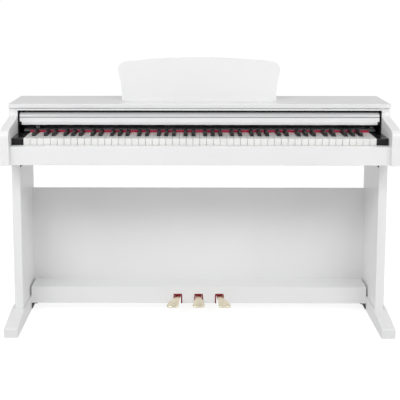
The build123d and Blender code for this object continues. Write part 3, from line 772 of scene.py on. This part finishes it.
# A mark's place up the slope, its width and its height, in mm.
DASH_OVER_BUTTON = (8.0, 7.0, 0.9)
DASH_UNDER_BUTTON = (-6.5, 4.0, 0.7)
SCALE_MARKS = 9
SCALE_PITCH = 3.5 * MM
SCALE_UP = 7.0 * MM
SCALE_WIDE = 0.8 * MM
SCALE_TALL = 1.0
SCALE_GROWTH = 0.35
# Rows of dashes: first x, pitch, how many, width, and a wider one at each of every so many, in mm.
DASH_ROWS = ((-470, 12.5, 24, 7.0, 10.0, 4), (40, 17.0, 30, 6.0, 12.0, 5))
DASH_ROW_UP = -7.5 * MM
DASH_ROW_TALL = 0.9 * MM


def add_mark(points, faces, x, up, wide, tall):
    """One printed dash with round ends, as a thin raised plate."""
    base = len(points)
    outline = rounded_section(wide / 2, tall / 2, min(wide, tall) * MARK_CORNER, 3)
    for lift in (0.0, MARK_LIFT):
        points.extend(tuple(on_deck(x + a, up + b, lift)) for a, b in outline)
    count = len(outline)
    for face in band_faces(count, 2):
        faces.append(tuple(base + i for i in face))
    faces.append(tuple(base + count + i for i in range(count)))


def make_marks():
    """Plain dashes round the buttons, a rising scale above the slider and two rows, with no lettering."""
    points = []
    faces = []
    for node in BUTTONS:
        for up, wide, tall in (DASH_OVER_BUTTON, DASH_UNDER_BUTTON):
            add_mark(points, faces, middle_x(node), up * MM, wide * MM, tall * MM)
    start = middle_x("volume_slider")
    for i in range(SCALE_MARKS):
        tall = (SCALE_TALL + SCALE_GROWTH * i) * MM
        add_mark(points, faces, start + i * SCALE_PITCH, SCALE_UP + tall / 2, SCALE_WIDE, tall)
    for first, pitch, count, wide, wider, every in DASH_ROWS:
        for i in range(count):
            x = (first + i * pitch) * MM
            width = (wide if i % every else wider) * MM
            add_mark(points, faces, x, DASH_ROW_UP, width, DASH_ROW_TALL)
    new_piece("panel_marks", "cabinet", "print_grey", points, faces, False)


LAMP_FROM_BUTTON = 7.0 * MM
LAMP_SIDES = 20
# Radius and height in mm of the collar, from outside in, and then of the lens.
COLLAR_PROFILE = ((2.0, 0.0), (2.0, 0.5), (1.7, 0.7), (1.45, 0.6))
LENS_PROFILE = ((1.4, 0.4), (1.2, 0.8), (0.7, 1.1), (0.2, 1.2))


def make_lamp():
    """A small domed lamp lens beside the power button, in a raised collar."""
    middle = on_deck(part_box("power_button")[0][0] - LAMP_FROM_BUTTON, 0.0, 0.0)
    side = Vector((1, 0, 0))
    rings = []
    for radius, lift in COLLAR_PROFILE + LENS_PROFILE:
        ring = []
        for k in range(LAMP_SIDES):
            angle = 2 * math.pi * k / LAMP_SIDES
            flat = side * math.cos(angle) + DECK_UP * math.sin(angle)
            ring.append(tuple(middle + flat * radius * MM + DECK_OUT * lift * MM))
        rings.append(ring)
    points, faces = loft(rings)
    new_piece("power_lamp", "cabinet", "lamp_lens", points, faces)


BEZEL_END = 10.0 * MM
BEZEL_HALF_TALL = 4.6
BEZEL_CORNER = 2.0 * MM
# How far out from the slot's edge and how high, in mm, round the frame's section.
BEZEL_PROFILE = ((1.2, 0.0), (1.2, 0.35), (0.8, 0.5), (0.2, 0.5), (0.0, 0.3), (0.0, 0.0))


def make_slider_bezel():
    """A raised frame round the slider's slot."""
    middle = middle_x("volume_slider") + SLIDER_TRAVEL / 2
    half = SLIDER_TRAVEL / 2 + BEZEL_END
    rings = []
    for grow, lift in BEZEL_PROFILE:
        outline = rounded_section(half + grow * MM, (BEZEL_HALF_TALL + grow) * MM, BEZEL_CORNER)
        rings.append([tuple(on_deck(middle + a, b, lift * MM)) for a, b in outline])
    points = [point for ring in rings for point in ring]
    faces = band_faces(len(rings[0]), len(rings), closed=True)
    new_piece("slider_bezel", "cabinet", "black_plastic", points, faces)


make_felt_ribbon()
make_notch_trims()
make_painted_shade_brush()
make_marks()
make_lamp()
make_slider_bezel()


# ---------------------------------------------------------------- stage

FLOOR_HALF = 6.0
# The floor's glow as the camera sees it, and as it lights the piano.
FLOOR_SEEN = 0.86
FLOOR_BOUNCE = 0.56
WORLD_SEEN = 1.02
WORLD_FRONT = 0.42
WORLD_BACK = 0.66
WORLD_HORIZON = 0.6
WORLD_ZENITH = 1.6
# The height on the world's sphere, from 0 to 1, over which its light rises to the zenith's.
WORLD_RISE = 0.7


def make_floor():
    """A pale floor that stays white to the eye and throws less light back up at the piano."""
    s = Shader("floor_white", FLOOR_GREY, 0.9)
    s.set(s.bsdf, "Specular IOR Level", 0.0)
    s.set(s.bsdf, "Emission Color", WHITE_LIGHT)
    path = s.add("ShaderNodeLightPath")
    glow = s.rescale(path, "Is Camera Ray", (0.0, 1.0), (FLOOR_BOUNCE, FLOOR_SEEN))
    s.link(glow, "Result", s.bsdf, "Emission Strength")
    corners = [(x * FLOOR_HALF, y * FLOOR_HALF, 0) for x, y in SQUARE]
    floor = new_object("floor", corners, [(0, 1, 2, 3)], s.mat)


def world_strength(nodes):
    """Light that is brightest from above, and a little brighter from behind than from the front."""
    coord = nodes.add("ShaderNodeTexCoord")
    split = nodes.add("ShaderNodeSeparateXYZ")
    nodes.link(coord, "Generated", split, "Vector")
    depth = nodes.rescale(split, "Y", (-1.0, 1.0), (WORLD_FRONT, WORLD_BACK))
    rise = nodes.rescale(split, "Z", (0.0, WORLD_RISE), (WORLD_HORIZON, WORLD_ZENITH))
    product = nodes.add("ShaderNodeMath", operation="MULTIPLY")
    nodes.link(depth, "Result", product, 0)
    nodes.link(rise, "Result", product, 1)
    return product


def make_world():
    """A white sweep to the eye, whose light on the piano is set apart from it."""
    world = bpy.data.worlds.new("studio")
    bpy.context.scene.world = world
    nodes = Nodes(world)
    out = nodes.add("ShaderNodeOutputWorld")
    mix = nodes.add("ShaderNodeMixShader")
    path = nodes.add("ShaderNodeLightPath")
    seen = nodes.add("ShaderNodeBackground")
    nodes.set(seen, "Color", WHITE_LIGHT)
    nodes.set(seen, "Strength", WORLD_SEEN)
    light = nodes.add("ShaderNodeBackground")
    nodes.link(world_strength(nodes), "Value", light, "Strength")
    nodes.link(path, "Is Camera Ray", mix, "Fac")
    nodes.link(light, "Background", mix, 1)
    nodes.link(seen, "Background", mix, 2)
    nodes.link(mix, "Shader", out, "Surface")


AIM = (0, 0, 0.6)
BACK_AIM = (0, 0, 0.5)
# Name, place, width and height, and watts.
SOFTBOXES = (
    ("front_left", (-1.7, -2.5, 2.5), (1.6, 0.8), 36),
    ("front_right", (1.8, -2.5, 2.4), (1.6, 0.8), 30),
    ("low_left", (-2.1, -5.2, 0.4), (1.3, 0.7), 3),
    ("low_right", (2.2, -5.2, 0.4), (1.2, 0.7), 2),
    ("side_left", (-2.9, -1.5, 1.5), (1.2, 0.8), 9),
    ("side_right", (2.9, -1.5, 1.5), (1.2, 0.8), 9),
)


def softbox(name, place, size, power, aim=AIM, mirrored=True):
    data = bpy.data.lights.new(name, "AREA")
    data.shape = "RECTANGLE"
    data.size, data.size_y = size
    data.energy = power
    lamp = bpy.data.objects.new(name, data)
    lamp.visible_camera = False
    lamp.visible_glossy = mirrored
    lamp.location = place
    lamp.rotation_euler = (Vector(aim) - Vector(place)).to_track_quat("-Z", "Y").to_euler()
    bpy.context.scene.collection.objects.link(lamp)


def make_lights():
    for row in SOFTBOXES:
        softbox(*row)
    # The light behind is hidden from reflections, where it burnt out the lid's top.
    softbox("back_fill", (0.6, 3.6, 1.5), (2.0, 0.9), 16, aim=BACK_AIM, mirrored=False)


# ---------------------------------------------------------------- camera

CAMERA_SENSOR = 36.0
CAMERA_LENS = 85.0
CAMERA_PITCH = 8.0
CAMERA_YAW = -0.425
CAMERA_SHIFT = (0.0464, -0.1943)
CAMERA_PLACE = (-0.0395, -3.395, 1.2103)
CAMERA_REACH = 100


def make_camera():
    """A camera at the photograph's place and angle, with its framing as a small lens shift."""
    data = bpy.data.cameras.new("camera")
    data.sensor_width = CAMERA_SENSOR
    data.lens = CAMERA_LENS
    data.shift_x, data.shift_y = CAMERA_SHIFT
    data.clip_end = CAMERA_REACH
    camera = bpy.data.objects.new("camera", data)
    camera.location = CAMERA_PLACE
    camera.rotation_euler = (math.radians(90 - CAMERA_PITCH), 0, math.radians(-CAMERA_YAW))
    bpy.context.scene.collection.objects.link(camera)
    bpy.context.scene.camera = camera


make_floor()
make_world()
make_lights()
make_camera()
bpy.context.scene.view_settings.view_transform = "Standard"

bpy.context.view_layer.update()
